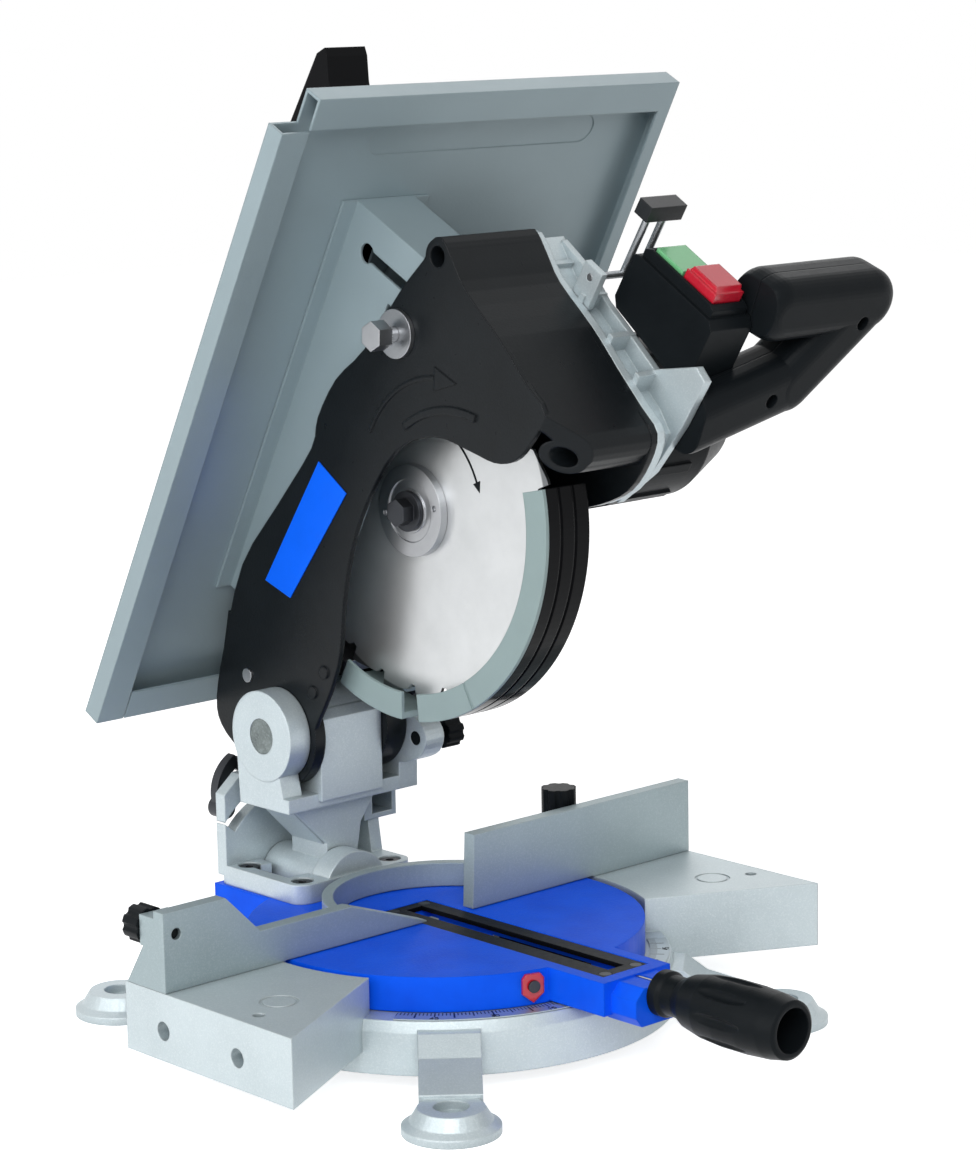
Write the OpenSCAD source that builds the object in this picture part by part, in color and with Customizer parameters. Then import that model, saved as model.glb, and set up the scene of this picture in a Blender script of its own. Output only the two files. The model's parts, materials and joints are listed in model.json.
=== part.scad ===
// Mitre saw with an upper table, built from separate pieces.
// Millimetres, +X to the operator's right, +Y to the back, +Z up.
// The origin is on the bench, at the middle of the four feet and on the mitre axis.
// Head pieces are drawn about the spindle with the head lowered, then raised.

/* [Base] */
// Height of the work surface above the bench
table_z = 56; // [54:0.5:60]
// Radius of the turntable disc
disc_r = 108; // [106:0.5:110]
// Width of the round base wall beyond the disc
ring_w = 17; // [15:0.5:20]
// Half length of the base across the wings
wing_x = 190; // [184:1:200]
// Half spacing of the feet across
foot_x = 120; // [116:1:126]
// Half spacing of the feet front to back
foot_y = 136; // [130:1:140]
// Radius of a foot pad
foot_r = 25; // [22:0.5:27]
// Diameter of the bench bolt holes
foot_hole_d = 9; // [7:0.5:10]
// Diameter of the holes in the wing ends
bar_hole_d = 10; // [8:0.5:12]
// Height of the tall part of the fence
fence_h = 42; // [38:1:44]
// Height of the low part of the fence
fence_low = 20; // [16:1:21]

/* [Column] */
// Height of the chop shaft above the bench
pivot_z = 147; // [146:0.5:149]
// Distance of the chop shaft behind the mitre axis
pivot_y = 105; // [104:0.5:107]
// Angle the head is raised from the cutting position
raise = 58; // [50:1:60]
// Diameter of the chop shaft
shaft_d = 20; // [18:0.5:22]
// Diameter of the bevel pin
bevel_pin_d = 16; // [14:0.5:18]
// Radius of the bevel clamp slot
bevel_slot_r = 50; // [49:0.5:51]

/* [Blade and drive] */
// Diameter of the blade
blade_d = 210; // [204:1:212]
// Thickness of the blade plate
blade_t = 2; // [1.6:0.1:2.4]
// Number of teeth on the blade
blade_teeth = 24; // [18:6:48]
// Diameter of the blade bore
bore_d = 30; // [25:1:30]
// Diameter of the blade flanges
flange_d = 50; // [46:1:52]
// Diameter of the spindle in its bearings
spindle_d = 20; // [18:0.5:20]
// Gear module
gear_mod = 1.5; // [1.45:0.05:1.5]
// Teeth on the spindle gear
gear_n = 36; // [36:1:36]
// Teeth on the motor pinion
pinion_n = 12; // [12:1:12]
// Radius of the motor body
motor_r = 46; // [43:0.5:47]
// Right end of the motor body
motor_x = 170; // [160:1:176]

/* [Upper table] */
// Left edge of the upper table
tab_x0 = -95; // [-105:1:-90]
// Right edge of the upper table
tab_x1 = 182; // [176:1:196]
// Front edge of the upper table from the spindle
tab_y0 = -200; // [-206:1:-194]
// Rear edge of the upper table from the spindle
tab_y1 = 195; // [190:1:200]
// Height of the upper table over the spindle at its low setting
tab_z = 89.5; // [89:0.5:92]
// Angle the upper table is tipped up to its high setting
tab_tilt = 3.5; // [2:0.5:4.5]
// Sheet thickness
sheet = 1.6; // [1.4:0.1:2]
// Depth of the folded edge
fold = 12; // [10:0.5:14]
// Width of the returned lip
lip = 18; // [14:0.5:20]

/* [Clearances] */
// Radial clearance of a shaft in its bore
run = 0.05; // [0.03:0.01:0.1]
// Gap between pieces that move past each other
gap = 0.4; // [0.3:0.05:0.6]
// Gap left at a seat between fixed pieces
seat = 0.15; // [0.1:0.05:0.3]

/* [Hidden] */
$fn = 48;
eps = 0.01;
// Spindle place with the head lowered
spin_y = pivot_y - 151;
spin_z = pivot_z + 2;
// Bevel axis height
bev_z = table_z + 1;
// Pivot seen from the spindle
piv_dy = 159;
piv_dz = 6;
// Gear sizes and the motor axis
gear_pr = gear_mod * gear_n / 2;
pinion_pr = gear_mod * pinion_n / 2;
centre_d = gear_pr + pinion_pr;
mot_a = 163.4;
mot_y = centre_d * cos(mot_a);
mot_z = centre_d * sin(mot_a);
// Underside of the disc and top of the ledge it turns on
ledge_z = 37;
ring_r = disc_r + ring_w;
disc_z = ledge_z + gap;
// Height of the mitre knob's axis
knob_z = 50;
// Guard radii
guard_ro = blade_d / 2 + 8;
guard_ri = blade_d / 2 + 4.4;
guard_flange_ri = guard_ro - 15;
// Coil and wire radius of the return spring
spring_r = 15;
spring_wire = 1.5;
// Inner faces of the head's arms, either side of the yoke's block
arm_l = -19;
arm_r = 26;
arm_hub = 30;
// Armature core
core_r = motor_r * 0.48;
// Place of the pointer round the disc
pointer_a = -18;
boss_r = 26;
// Guard angles below the front horizontal, head lowered
guard_a0 = 46;
guard_a1 = 142;
rear_a0 = 149;
rear_a1 = 176;
// Faces of the head from left to right
cov_l = -26;
cov_r = 40;
cov_t = 3;
box_x = 62.4;
// Underside of the upper table's folded edge
fold_z = tab_z - fold;
// Pin the upper table tips on
tab_pin_y = 150;
tab_pin_z = 45;
tab_pin_r = 4;
// Pin the hood swings on
hood_y = 115;
hood_z = 124;

// Shape helpers

module xcyl(r, x0, x1, y = 0, z = 0) {
  translate([x0, y, z]) rotate([0, 90, 0]) cylinder(r = r, h = x1 - x0);
}

module ycyl(r, y0, y1, x = 0, z = 0) {
  translate([x, y1, z]) rotate([90, 0, 0]) cylinder(r = r, h = y1 - y0);
}

module zcyl(r, z0, z1, x = 0, y = 0) {
  translate([x, y, z0]) cylinder(r = r, h = z1 - z0);
}

module box(x0, x1, y0, y1, z0, z1) {
  translate([x0, y0, z0]) cube([x1 - x0, y1 - y0, z1 - z0]);
}

// A flat outline given as [y, z] points, thickened along X
module xplate(x0, x1) {
  translate([x0, 0, 0]) rotate([90, 0, 90]) linear_extrude(x1 - x0) children();
}

// A flat outline given as [x, z] points, thickened along Y
module yplate(y0, y1) {
  translate([0, y1, 0]) rotate([90, 0, 0]) linear_extrude(y1 - y0) children();
}

// A ring about the X axis between two angles below the front horizontal
module xring(r0, r1, x0, x1, a0, a1) {
  rotate([90, 0, 90]) rotate([0, 0, 180 + a0]) rotate_extrude(angle = a1 - a0)
    translate([r0, x0]) square([r1 - r0, x1 - x0]);
}

module rrect(x0, x1, y0, y1, r) {
  translate([x0 + r, y0]) square([x1 - x0 - 2 * r, y1 - y0]);
  translate([x0, y0 + r]) square([x1 - x0, y1 - y0 - 2 * r]);
  for (x = [x0 + r, x1 - r]) for (y = [y0 + r, y1 - r]) translate([x, y]) circle(r);
}

// A closed curve through the given points
function mid(a, b, c, d, t) = 0.5 * (2 * b + (c - a) * t + (2 * a - 5 * b + 4 * c - d) * t * t
  + (3 * b - a - 3 * c + d) * t * t * t);
function loop(p, n) = [for (i = [0 : len(p) - 1]) for (k = [0 : n - 1])
  mid(p[(i + len(p) - 1) % len(p)], p[i], p[(i + 1) % len(p)], p[(i + 2) % len(p)], k / n)];

// Involute gear outline
function inv_pt(rb, t) = [rb * (cos(t) + t * PI / 180 * sin(t)), rb * (sin(t) - t * PI / 180 * cos(t))];
function inv_a(rb, r) = r <= rb ? 0 : let (t = sqrt(r * r / rb / rb - 1) * 180 / PI)
  atan2(inv_pt(rb, t)[1], inv_pt(rb, t)[0]);
function flank(rb, rs, a, s) = [for (r = rs) let (g = a + s * inv_a(rb, r)) [r * cos(g), r * sin(g)]];
function gear_pts(m, n, play) = let (
  rp = m * n / 2,
  rb = rp * cos(25),
  ra = rp + 0.9 * m,
  rr = rp - 1.2 * m,
  half = 90 / n - play / rp * 90 / PI + inv_a(rb, rp),
  rs = [max(rb, rr), rp, (rp + ra) / 2, ra])
  [for (i = [0 : n - 1]) let (a = i * 360 / n) each concat(
    [[rr * cos(a - half), rr * sin(a - half)]],
    flank(rb, rs, a - half, 1),
    [for (k = [3 : -1 : 0]) flank(rb, rs, a + half, -1)[k]],
    [[rr * cos(a + half), rr * sin(a + half)]])];

// Turns head pieces from the cutting position to the raised one
module head() {
  translate([0, pivot_y, pivot_z]) rotate([-raise, 0, 0]) translate([0, -piv_dy, -piv_dz]) children();
}

// Tips table pieces up about the rear pin
module on_table() {
  translate([0, tab_pin_y, tab_pin_z]) rotate([-tab_tilt, 0, 0]) translate([0, -tab_pin_y, -tab_pin_z])
    children();
}

// Base

module foot_leg(x, y) {
  a = atan2(y, x);
  d = sqrt(x * x + y * y);
  rotate([0, 0, a]) translate([0, -16, 0]) rotate([90, 0, 0]) mirror([0, 0, 1]) linear_extrude(32)
    polygon([[ring_r - 5, 9.5], [ring_r - 5, 33], [ring_r + 4, 33], [ring_r + 16, 24], [d - 11, 15],
      [d - 11, 5], [ring_r + 30, 5], [ring_r + 24, 9.5]]);
  translate([x, y, 0]) rotate_extrude() polygon([[0, 0], [foot_r, 0], [foot_r, 4], [foot_r - 4, 6.5],
    [foot_r - 8, 13], [0, 13]]);
}

module wing(s) {
  mirror([s > 0 ? 0 : 1, 0, 0]) difference() {
    translate([0, 0, 20]) linear_extrude(table_z - 20)
      polygon([[84, -44], [wing_x, -100], [wing_x, 34], [84, 34]]);
    translate([0, 0, 19]) linear_extrude(table_z - 27)
      polygon([[92, -40], [wing_x - 7, -89], [wing_x - 7, 27], [92, 27]]);
    for (y = [-57, 3]) xcyl(bar_hole_d / 2, wing_x - 8, wing_x + 1, y, 36);
    zcyl(3.3, table_z - 9, table_z + 1, 178, -60);
    translate([157, -50, table_z - 0.6]) rotate_extrude() translate([8.4, 0]) square([1.6, 2]);
  }
}

module base_casting() color([0.72, 0.74, 0.74]) difference() {
  union() {
    rotate_extrude($fn = 96) polygon([[ring_r - 7, 9], [ring_r, 9], [ring_r - 1, 31], [ring_r - 3, ledge_z],
      [disc_r - 14, ledge_z], [disc_r - 14, 31], [ring_r - 7, 29]]);
    zcyl(24, 9, ledge_z);
    for (a = [0 : 60 : 300]) rotate([0, 0, a + 30]) box(18, ring_r - 5, -4, 4, 15, 33);
    for (s = [-1, 1]) difference() {
      wing(s);
      zcyl(disc_r + 5.2, ledge_z, table_z + 1);
      zcyl(ring_r - 6.5, 0, ledge_z);
    }
    for (x = [-foot_x, foot_x]) for (y = [-foot_y, foot_y]) foot_leg(x, y);
  }
  zcyl(6 + run, 8, ledge_z + 1);
  zcyl(13, 8, 20);
  for (x = [-foot_x, foot_x]) for (y = [-foot_y, foot_y]) {
    zcyl(foot_hole_d / 2, -1, 40, x, y);
    zcyl(9, 8, 40, x, y);
  }
  for (x = [-168, 168]) zcyl(3.1, table_z - 9, table_z + 1, x, 20);
}

module mitre_scale() color([0.82, 0.83, 0.84]) translate([0, 0, ledge_z + seat]) rotate([0, 0, -145])
  rotate_extrude(angle = 110, $fn = 96) translate([disc_r + 2.5, 0]) square([ring_r - disc_r - 6.5, 0.6]);

module fence_arch() {
  rotate([0, 0, 3]) rotate_extrude(angle = 174) translate([61, table_z + 0.6]) square([6, 13.4]);
}

module fence() color([0.70, 0.73, 0.73]) {
  z0 = table_z + seat;
  zh = table_z + fence_h;
  zl = table_z + fence_low;
  difference() {
    union() {
      yplate(0, 8) polygon([[-wing_x, z0], [-wing_x, zh], [-wing_x + 40, zh], [-wing_x + 62, zl], [-66, zl],
        [-14, table_z + 1.5], [-14, table_z + 0.6], [-disc_r - 4, table_z + 0.6], [-disc_r - 4, z0]]);
      yplate(0, 8) polygon([[20, table_z + 0.6], [22, zh], [wing_x, zh], [wing_x, z0], [disc_r + 4, z0],
        [disc_r + 4, table_z + 0.6]]);
      fence_arch();
      for (s = [-1, 1]) box(s * 168 - 14, s * 168 + 14, 7, 30, z0, z0 + 6);
      for (s = [-1, 1]) xplate(s * (wing_x - 3) - 3, s * (wing_x - 3) + 3)
        polygon([[7, z0], [32, z0], [7, zh - 4]]);
      box(-wing_x, -wing_x + 18, 7, 20, table_z + 22, table_z + 38);
      box(96, 118, 7, 33, table_z + 14, table_z + 24);
    }
    for (s = [-1, 1]) zcyl(3.3, table_z - 1, z0 + 7, s * 168, 20);
    ycyl(3 + run, -1, 21, -wing_x + 8, table_z + 30);
    zcyl(3 + run, table_z + 13, table_z + 25, 107, 22);
  }
}

module fence_bolts() color([0.35, 0.36, 0.38]) for (s = [-1, 1]) {
  zcyl(3, table_z - 8, table_z + 7, s * 168, 20);
  zcyl(6, table_z + 6.3 + seat, table_z + 11, s * 168, 20, $fn = 6);
}

module knob_flutes(r, h, n) {
  difference() {
    cylinder(r = r, h = h);
    for (i = [0 : n - 1]) rotate([0, 0, i * 360 / n]) translate([r + 1.2, 0, -1])
      cylinder(r = 2.4, h = h + 2, $fn = 16);
  }
}

module fence_knob_left() color([0.06, 0.06, 0.07]) translate([-wing_x + 8, 20 + gap, table_z + 30]) {
  rotate([-90, 0, 0]) knob_flutes(10, 12, 8);
  rotate([90, 0, 0]) cylinder(r = 3, h = 18);
}

module fence_knob_right() color([0.06, 0.06, 0.07]) translate([107, 22, table_z + 24 + gap]) {
  cylinder(r = 5, h = 10);
  translate([0, 0, 9]) knob_flutes(10, 16, 8);
  translate([0, 0, -9]) cylinder(r = 3, h = 10);
}

module mitre_pivot_bolt() color([0.5, 0.51, 0.53]) {
  zcyl(6, 19.5, 47);
  zcyl(11, 12, 19.6, $fn = 6);
}

module mitre_pivot_nut() color([0.5, 0.51, 0.53]) difference() {
  zcyl(10, 41.4 + gap, 46, $fn = 6);
  zcyl(6 + run, 40, 47);
}

// Turntable

module turntable() color([0.09, 0.25, 0.80]) difference() {
  union() {
    difference() {
      zcyl(disc_r, disc_z, table_z, $fn = 96);
      zcyl(disc_r - 7, disc_z - 1, table_z - 8, $fn = 96);
    }
    zcyl(26, disc_z, table_z - 7);
    box(-24, 24, -146, -disc_r + 10, disc_z + 1, table_z);
    yplate(-164, -140) polygon([[-19, 40], [-15, 35], [15, 35], [19, 40], [19, 49], [13, table_z - 1],
      [-13, table_z - 1], [-19, 49]]);
    box(-44, 44, 92, 147, disc_z + 1, table_z);
  }
  box(-16 - gap, 16 + gap, -138, 34, table_z - 3, table_z + 1);
  box(-14, 14, -132, 28, 41.4, table_z);
  zcyl(6 + run, 30, 45);
  box(-20, 20, 88.5, 139.5, disc_z, table_z + 1);
  for (x = [-32, 32]) for (y = [83, 130]) zcyl(3.1, table_z - 14, table_z + 1, x, y);
  ycyl(5 + run, -165, -133, 0, knob_z);
  ycyl(bevel_pin_d / 2 + gap, 70, 151, 0, bev_z);
  for (x = [-11, 11]) for (y = [-134, 30.3]) zcyl(1.7, table_z - 11, table_z, x, y);
  rotate([0, 0, pointer_a]) ycyl(1.9, -disc_r - 1, -disc_r + 6, 0, table_z - 8);
}

module kerf_plate() color([0.05, 0.05, 0.06]) difference() {
  box(-16, 16, -137.6, 33.6, table_z - 3 + seat, table_z - 0.3);
  box(-5, 6.5, -130, 27, table_z - 5, table_z + 1);
  for (x = [-11, 11]) for (y = [-134, 30.3]) {
    zcyl(1.7, table_z - 5, table_z + 1, x, y);
    zcyl(3.4, table_z - 1.8, table_z + 1, x, y);
  }
}

module pointer() color([0.80, 0.05, 0.06]) rotate([0, 0, pointer_a]) difference() {
  yplate(-disc_r - 2.3, -disc_r - 0.3) polygon([[-6, table_z - 4], [-4, table_z - 1.5], [4, table_z - 1.5],
    [6, table_z - 4], [6, 44], [0, ledge_z + 2.2], [-6, 44]]);
  ycyl(1.9, -disc_r - 4, -disc_r, 0, table_z - 8);
}

module small_screw() {
  cylinder(r = 1.6, h = 8.3, $fn = 20);
  translate([0, 0, 8.2]) cylinder(r = 3.2, h = 1.4, $fn = 24);
}

module small_screws() color([0.1, 0.1, 0.11]) {
  for (x = [-11, 11]) for (y = [-134, 30.3]) translate([x, y, table_z - 10 + seat]) small_screw();
  rotate([0, 0, pointer_a]) translate([0, -disc_r + 5.9 - seat, table_z - 8]) rotate([90, 0, 0])
    small_screw();
}

module mitre_knob() color([0.05, 0.05, 0.06]) translate([0, -164 - gap, knob_z]) rotate([90, 0, 0])
  difference() {
    rotate_extrude() polygon([[0, 0], [12, 0], [12, 5], [10.5, 7], [10.5, 15], [14, 22], [16.5, 34],
      [17.5, 48], [17.5, 64], [16.6, 78], [15, 87], [13.5, 88], [0, 88]]);
    for (i = [0 : 7]) rotate([0, 0, i * 45]) translate([19.4, 0, 26]) rotate_extrude($fn = 24)
      polygon([[0, 0], [2.6, 7], [3.6, 16], [3.6, 32], [2.6, 41], [0, 48]]);
    translate([0, 0, 58]) cylinder(r = 11.5, h = 40);
    translate([0, 0, -1]) cylinder(r = 5 + seat, h = 22);
  }

module mitre_lock_screw() color([0.55, 0.56, 0.58]) ycyl(5, -184, -141, 0, knob_z);

// Column

module column_bracket() color([0.70, 0.73, 0.73]) difference() {
  union() {
    translate([0, 0, table_z + seat]) linear_extrude(11) rrect(-42, 42, 73, 147, 9);
    intersection() {
      ycyl(22, 75, 90, 0, bev_z);
      box(-30, 30, 70, 95, table_z + seat, 120);
    }
    yplate(138, 146) polygon([[-42, table_z + 5], [-42, 108], [-30, 118], [30, 118], [42, 108],
      [42, table_z + 5]]);
    xplate(34, 42) polygon([[100, table_z + 5], [124, table_z + 5], [122, 88], [104, 88]]);
    difference() {
      box(30, 54, 102, 124, 86, 105);
      box(36, 51, 100, 120, 89, 102);
    }
  }
  box(-20, 20, 90 - eps, 138, table_z - 1, table_z + 12);
  box(-34, 20, 93, 125, table_z - 1, table_z + 12);
  ycyl(bevel_pin_d / 2 + 0.02, 70, 150, 0, bev_z);
  translate([0, 0, bev_z]) rotate([90, 0, 0]) rotate([0, 0, 84]) translate([0, 0, -147])
    rotate_extrude(angle = 57) translate([bevel_slot_r - 4.6, 0]) square([9.2, 10]);
  for (x = [-32, 32]) for (y = [83, 130]) {
    zcyl(3.3, table_z - 1, table_z + 12, x, y);
    zcyl(6.4, table_z + 6, table_z + 12, x, y);
  }
  xcyl(3 + run, 29, 37, 112, 95.5);
}

module column_bolts() color([0.2, 0.2, 0.21]) for (x = [-32, 32]) for (y = [83, 130]) difference() {
  union() {
    zcyl(3, table_z - 13, table_z + 7, x, y, $fn = 24);
    zcyl(5.5, table_z + 6 + seat, table_z + 10.4, x, y, $fn = 32);
  }
  zcyl(2.6, table_z + 8, table_z + 12, x, y, $fn = 6);
}

module bevel_pin() color([0.55, 0.56, 0.58]) ycyl(bevel_pin_d / 2, 74, 148, 0, bev_z);

module bevel_stop_screw() color([0.12, 0.12, 0.13]) {
  xcyl(3, 27, 35.8, 112, 95.5, $fn = 24);
  xcyl(5.5, 25.2, 27.1, 112, 95.5, $fn = 32);
}

// Tilting yoke

module bevel_yoke() color([0.74, 0.76, 0.77]) difference() {
  union() {
    ycyl(17, 90 + gap, 138 - gap, 0, bev_z);
    yplate(94, 122) polygon([[-7, bev_z], [-7, 81], [-30, 104.5], [-30, 113], [26, 113], [26, 106], [15, 90],
      [15, bev_z]]);
    yplate(91, 95) polygon([[-7, 70], [-7, 82], [-36, 111], [-36, 113], [30, 113], [30, 107], [18, 90], [15, 74]]);
    box(-40, 54, 83, 126, 106, 114);
    xplate(-40, cov_l - gap) polygon([[86, 106], [126, 106], [128, 140], [92, 130]]);
    xplate(cov_r + gap, 54) polygon([[83, 106], [126, 106], [128, 140], [82, 140]]);
    xcyl(25.5, -40.5, cov_l - gap, pivot_y, pivot_z);
    xcyl(25.5, cov_r + gap, 54, pivot_y, pivot_z);
    xcyl(24.5, arm_l + gap, arm_r - gap, pivot_y, pivot_z);
    xplate(arm_l + gap, arm_r - gap) polygon([[80, 110], [80, 156], [84, 161], [93, 164], [97, 169],
      [102, 170], [pivot_y, 164], [pivot_y, 110]]);
    xplate(cov_r + gap, 54) polygon(loop([[86, 124], [66, 127], [59, 138], [65, 148], [86, 156]], 4));
    ycyl(9, 121, 138 - gap, 0, bev_z + bevel_slot_r);
    xplate(20, 24.6) polygon([[100, 88], [122, 88], [122, 108], [100, 108]]);
  }
  ycyl(bevel_pin_d / 2 + run, 89, 139, 0, bev_z);
  xcyl(shaft_d / 2 + 0.02, -50, 60, pivot_y, pivot_z);
  ycyl(4 + 0.02, 112, 139, 0, bev_z + bevel_slot_r);
  xcyl(4 + run, cov_r, 60, 68, 138);
}

module chop_shaft() color([0.55, 0.56, 0.57]) xcyl(shaft_d / 2, -40.2, 54.5, pivot_y, pivot_z);

module bevel_clamp_bolt() color([0.5, 0.51, 0.53]) ycyl(4, 113, 159, 0, bev_z + bevel_slot_r);

module bevel_clamp_lever() color([0.1, 0.1, 0.11]) translate([0, 153.5, bev_z + bevel_slot_r]) {
  difference() {
    ycyl(10, -7.5 + gap, 4);
    ycyl(4 + run, -9, 6);
  }
  rotate([0, -57, 0]) box(-3.5, 3.5, -2.4, 2.4, 8, 27);
  translate([-14, 3, -2]) rotate([90, 0, 0]) rotate([0, 0, 115]) rotate_extrude(angle = 90)
    translate([16.5, 0]) square([7, 6]);
  ycyl(6, -5, 5, -32.2, -10.4);
}

module head_lock_pin() color([0.08, 0.08, 0.09]) {
  xcyl(4, cov_r + gap, 59, 68, 138);
  translate([58.6, 68, 138]) rotate([0, 90, 0]) knob_flutes(9, 11, 8);
}

// Head outlines as [y, z] about the spindle

top_edge = [[-152, 35], [-136, 40], [-111, 47], [-69, 55], [-41, 66], [-14, 68], [4, 64], [50, 72],
  [98, 80], [150, 70], [180, 61], [191, 50], [193, 30], [190, 8]];
hub_edge = [[180, -14], [159, -24], [142, -16]];
left_edge = [[112, -15], [88, -11], [61, 1], [32, 10], [1, 13], [-37, 8], [-62, -13], [-72, -38],
  [-78, -56], [-87, -67], [-100, -72], [-122, -73], [-127, -54], [-135, -26], [-141, 9]];
right_edge = [[112, -22], [60, -34], [20, -42], [-18, -46], [-41, -62], [-62, -82], [-80, -94], [-100, -97],
  [-116, -93], [-121, -76], [-127, -54], [-135, -26], [-141, 9]];
front_edge = [[-154, 35], [-148, 20], [-141, 5], [-135, -26], [-127, -54], [-121, -76], [-116, -92],
  [-106, -96], [-98, -91], [-104, -84], [-110, -80], [-115, -68], [-121, -50], [-129, -25], [-135, 8],
  [-139, 24], [-135, 36], [-144, 41]];
lug_high = [-144, 32];
lug_low = [-103, -86];

module cover_lugs() {
  for (p = [lug_high, lug_low]) xcyl(9, cov_l, cov_r, p[0], p[1]);
}

// A raised arc on the cover's face, with angles from the rear horizontal
module face_arc(y, z, r, w, h, a0, a1) {
  translate([cov_l - h, y, z]) rotate([90, 0, 90]) rotate([0, 0, a0]) rotate_extrude(angle = a1 - a0)
    translate([r - w / 2, 0]) square([w, h + cov_t / 2]);
}

module blade_cover() color([0.13, 0.14, 0.15]) head() difference() {
  union() {
    xplate(cov_l, cov_l + cov_t) polygon(loop(concat(top_edge, hub_edge, left_edge), 3));
    xplate(cov_r - 4, cov_r) polygon(loop(concat(top_edge, hub_edge, right_edge), 3));
    xplate(cov_l, cov_r) polygon(loop(front_edge, 3));
    cover_lugs();
    xcyl(arm_hub, cov_l, arm_l, piv_dy, piv_dz);
    xcyl(arm_hub, arm_r, cov_r, piv_dy, piv_dz);
    xplate(cov_l, cov_r) polygon([[129, 77], [150, 70], [180, 61], [191, 50], [193, 30], [190, 8],
      [185.5, 8], [188, 30], [186, 47], [177, 56], [150, 65], [129, 72]]);
    face_arc(-26, -52, 66, 4, 1.4, 114, 164);
    face_arc(-38, -31.5, 61, 2.2, 0.8, 86, 146);
    xplate(cov_l - 0.8, cov_l + 1) polygon([[-94, 5], [-96, -13], [-83, -1]]);
    for (p = [[121, -4], [105, -6]]) xcyl(3.6, cov_l - 1.2, cov_l + 1, p[0], p[1], $fn = 32);
  }
  // 45 degree relief so the tilted head clears the work surface
  yplate(-200, 20) polygon([[-70, -30.5], [-70, -150], [49.5, -150]]);
  xcyl(boss_r + 0.3, 30, 50);
  xcyl(shaft_d / 2 + run, -60, 60, piv_dy, piv_dz);
  xcyl(spring_r + spring_wire + 0.3, arm_r + 3, 50, piv_dy, piv_dz);
  xcyl(tab_pin_r + 0.02, -40, 50, tab_pin_y, tab_pin_z);
  xcyl(5.5, -60, -8, lug_high[0], lug_high[1]);
  xcyl(5.5, -60, 4, lug_low[0], lug_low[1]);
  for (p = [lug_high, lug_low]) xcyl(3 + seat, -20, 50, p[0], p[1]);
  for (p = [[-60, 36], [44, -20]]) xcyl(3 + seat, 30, 50, p[0], p[1]);
  xcyl(4 + seat, -40, -20, -92, 37);
  xcyl(4.4, 30, 50, 123, -6.5);
}

module rear_guard() color([0.66, 0.69, 0.69]) head() {
  rotate([90, 0, 90]) rotate([0, 0, 180 + rear_a0]) rotate_extrude(angle = rear_a1 - rear_a0)
    polygon([[guard_flange_ri, -13], [guard_ro, -13], [guard_ro, 13], [guard_ri, 13], [guard_ri, -11],
      [guard_flange_ri, -11]]);
  xring(guard_ri + 0.6, guard_ro - 0.6, 12, cov_r - 4 - seat, 165, rear_a1 - 1);
}

module label_plate() color([0.05, 0.22, 0.85]) head() xplate(cov_l - 0.7, cov_l - 0.1)
  polygon([[6, 55], [7, 28], [87, 37], [92, 59]]);

module cover_screws() color([0.3, 0.31, 0.33]) head() {
  for (p = [[lug_high, -8], [lug_low, 4]]) {
    xcyl(5, p[1] - 4, p[1] - seat, p[0][0], p[0][1], $fn = 32);
    xcyl(3, p[1] - 0.2, 43, p[0][0], p[0][1], $fn = 24);
  }
  for (p = [[-60, 36], [44, -20]]) {
    xcyl(3, 35.6, 43, p[0], p[1], $fn = 24);
    xcyl(5, 32, 36 - seat, p[0], p[1], $fn = 32);
  }
}

housing_edge = [[-152, 34], [-141, 43], [-111, 47], [-69, 51], [-30, 51], [10, 49], [45, 40], [56, 10],
  [50, -28], [20, -42], [-18, -46], [-41, -62], [-62, -82], [-80, -94], [-100, -97], [-116, -93], [-121, -76],
  [-127, -54], [-135, -26], [-141, 9]];
// Wall set back from the front edge, with a rib at each [y, z]
rib_wall = [[-149, 33], [-139, 12], [-136, 2], [-130, -26], [-122, -54], [-116, -76], [-110, -88], [-84, -88],
  [-84, -82], [-106, -82], [-111, -74], [-117, -52], [-125, -24], [-131, 4], [-137, 22], [-112, 38],
  [-112, 44], [-140, 41]];
rib_ends = [[-144, 18], [-142, -8], [-136, -36], [-130, -62]];

module gear_housing() color([0.72, 0.74, 0.75]) head() difference() {
  union() {
    xplate(cov_r + seat, 45.5) polygon(loop(housing_edge, 3));
    xcyl(boss_r, 10, 42);
    xcyl(36, 45, 60);
    xcyl(motor_r, 45, 60, mot_y, mot_z);
    xplate(45, 62) polygon(rib_wall);
    for (p = rib_ends) box(45, 62, p[0], p[0] + 14, p[1] - 1.8, p[1] + 1.8);
    xplate(58, 62) polygon([[-149, 30], [-147, 10], [-143, -5], [-140, -13], [-137, -30], [-133, -50],
      [-130, -64], [-116, -60], [-122, -30], [-130, 0], [-138, 26]]);
    xplate(57, 62) polygon([[-130, -60], [-150, -85], [-147, -94], [-118, -93], [-84, -88], [-55, -76],
      [-70, -60], [-116, -52]]);
    difference() {
      box(46, 50, -158, -136, -14, 0);
      xcyl(2 + run, 45, 51, -152, -7, $fn = 24);
    }
  }
  xcyl(29.5, 46.5, 60.1);
  xcyl(12.5, 46.5, 60.1, mot_y, mot_z);
  xcyl(spindle_d / 2 + 1, 9, 61);
  xcyl(17.5 + run, 9, 26.2);
  for (p = [lug_high, lug_low, [-60, 36], [44, -20]]) xcyl(3 + seat, 39, 44, p[0], p[1]);
  xcyl(3, 57.5, 63, -138, -84);
}

module motor_bracket() color([0.68, 0.70, 0.71]) head() difference() {
  union() {
    xcyl(motor_r, 60 + seat, 66, mot_y, mot_z);
    xcyl(36, 60 + seat, 66);
  }
  xcyl(11 + 0.02, 59, 67);
  xcyl(11 + 0.02, 59, 67, mot_y, mot_z);
}

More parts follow.
